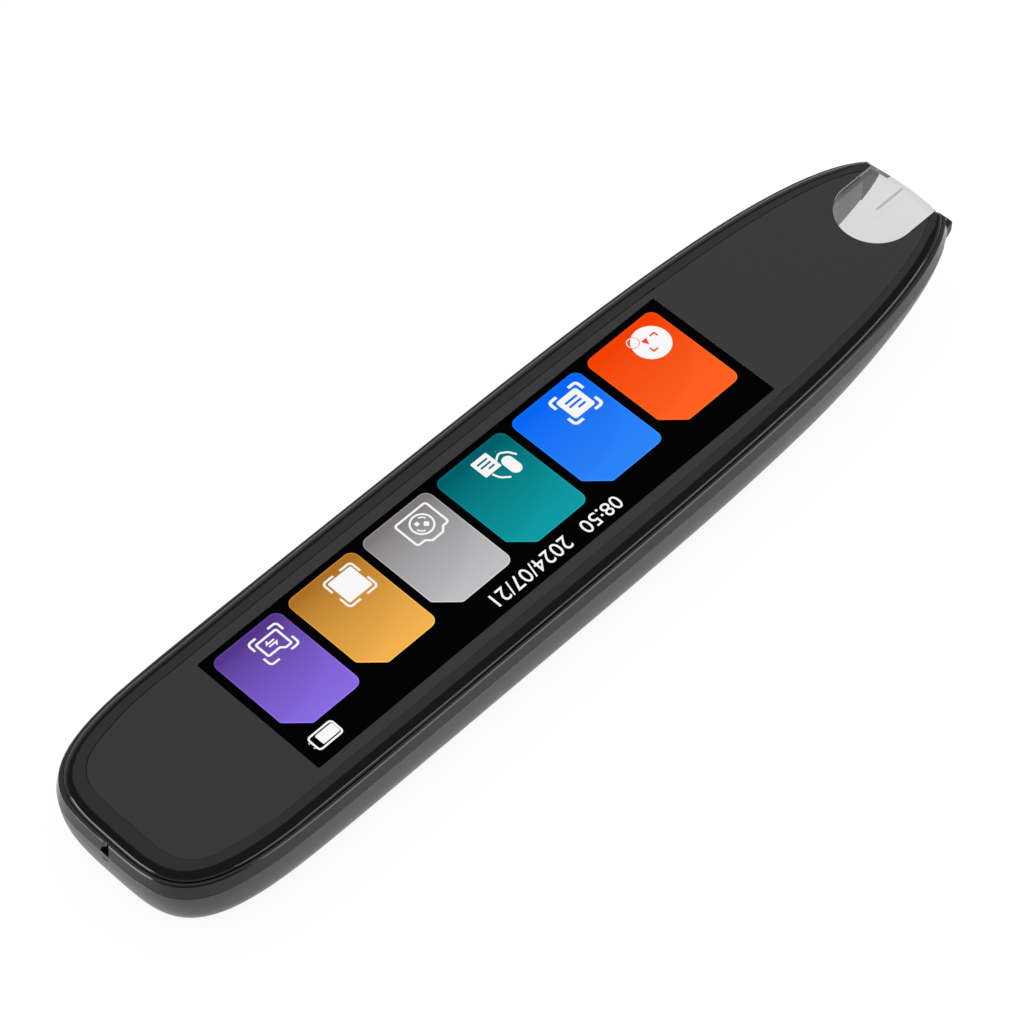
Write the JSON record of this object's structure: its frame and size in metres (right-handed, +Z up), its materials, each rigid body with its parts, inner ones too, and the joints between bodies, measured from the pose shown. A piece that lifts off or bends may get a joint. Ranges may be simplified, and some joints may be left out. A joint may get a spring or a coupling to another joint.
{
  "type": "handheld scan translator",
  "caption": "Slim pen-shaped scan translator: long colour screen on top, clear window over a U-shaped scan notch with a sliding shoe at the tip, side button and USB-C port.",
  "frame": {"origin": "middle of the bounding box in plan, on the flat of the belly", "axes": "+X towards the scan tip, +Y to the side with the power button and the USB-C port, +Z up out of the screen"},
  "size_m": [0.1526, 0.033, 0.012],
  "materials": {
    "shell_satin": "satin moulded",
    "frame_gloss": "gloss",
    "bezel_gloss": "gloss",
    "cover_glass": "polished, dark printed underside",
    "tape_black": "matte",
    "tray_steel": "stamped",
    "backlight_white": "matte",
    "panel_glass": "polished",
    "film_clear": "clear film over a dark panel",
    "flex_amber": "satin film",
    "window_clear": "polished",
    "shoe_grey": "satin moulded",
    "spring_steel": "plain",
    "switch_black": "satin",
    "holder_black": "matte",
    "barrel_black": "satin",
    "lens_glass": "coated",
    "sensor_glass": "polished",
    "board_green": "solder resist",
    "lamp_white": "phosphor",
    "chip_black": "moulded",
    "connector_ivory": "moulded",
    "cell_foil": "laminated foil",
    "pad_foam": "foam",
    "speaker_black": "moulded",
    "mesh_black": "woven",
    "button_grey": "satin moulded",
    "boot_rubber": "moulded",
    "insert_brass": "knurled",
    "screw_black": "blackened"
  },
  "bodies": {
    "housing": {"lower_shell": "shell_satin", "middle_frame": "frame_gloss", "bezel": "bezel_gloss", "cover_lens": "cover_glass", "cover_tape": "tape_black", "display_tray": "tray_steel", "backlight_sheet": "backlight_white", "display_panel": "panel_glass", "screen_film": "film_clear", "display_flex": "flex_amber", "scan_window": "window_clear", "return_springs": "spring_steel", "trigger_switch": "switch_black", "camera_holder": "holder_black", "camera_barrel": "barrel_black", "camera_glass": "lens_glass", "image_sensor": "sensor_glass", "sensor_board": "board_green", "lamp_board": "board_green", "lamps": "lamp_white", "camera_flex": "flex_amber", "main_board": "board_green", "shield_cans": "tray_steel", "board_chips": "chip_black", "board_connectors": "connector_ivory", "battery_cell": "cell_foil", "battery_board": "board_green", "battery_pad": "pad_foam", "battery_flex": "flex_amber", "speaker": "speaker_black", "speaker_gasket": "pad_foam", "speaker_mesh": "mesh_black", "usb_socket": "tray_steel", "usb_tongue": "chip_black", "power_switch": "switch_black", "mic_boot": "boot_rubber", "microphone": "tray_steel", "mic_board": "board_green", "antenna_flex": "flex_amber", "threaded_inserts": "insert_brass", "frame_screws": "screw_black", "board_screws": "screw_black"},
    "scan_shoe": {"scan_shoe": "shoe_grey"},
    "power_button": {"power_button": "button_grey"}
  },
  "joints": [
    {"name": "shoe_slide", "type": "slide", "parent": "housing", "child": "scan_shoe", "axis": [-1, 0, 0], "range_m": [0, 0.0005], "stiffness_N_per_m": 800, "springref_m": -0.0005, "deforming": ["return_springs"]},
    {"name": "power_button_press", "type": "slide", "parent": "housing", "child": "power_button", "axis": [0, -1, 0], "range_m": [0, 0.0004], "stiffness_N_per_m": 1000, "springref_m": -0.0003}
  ]
}
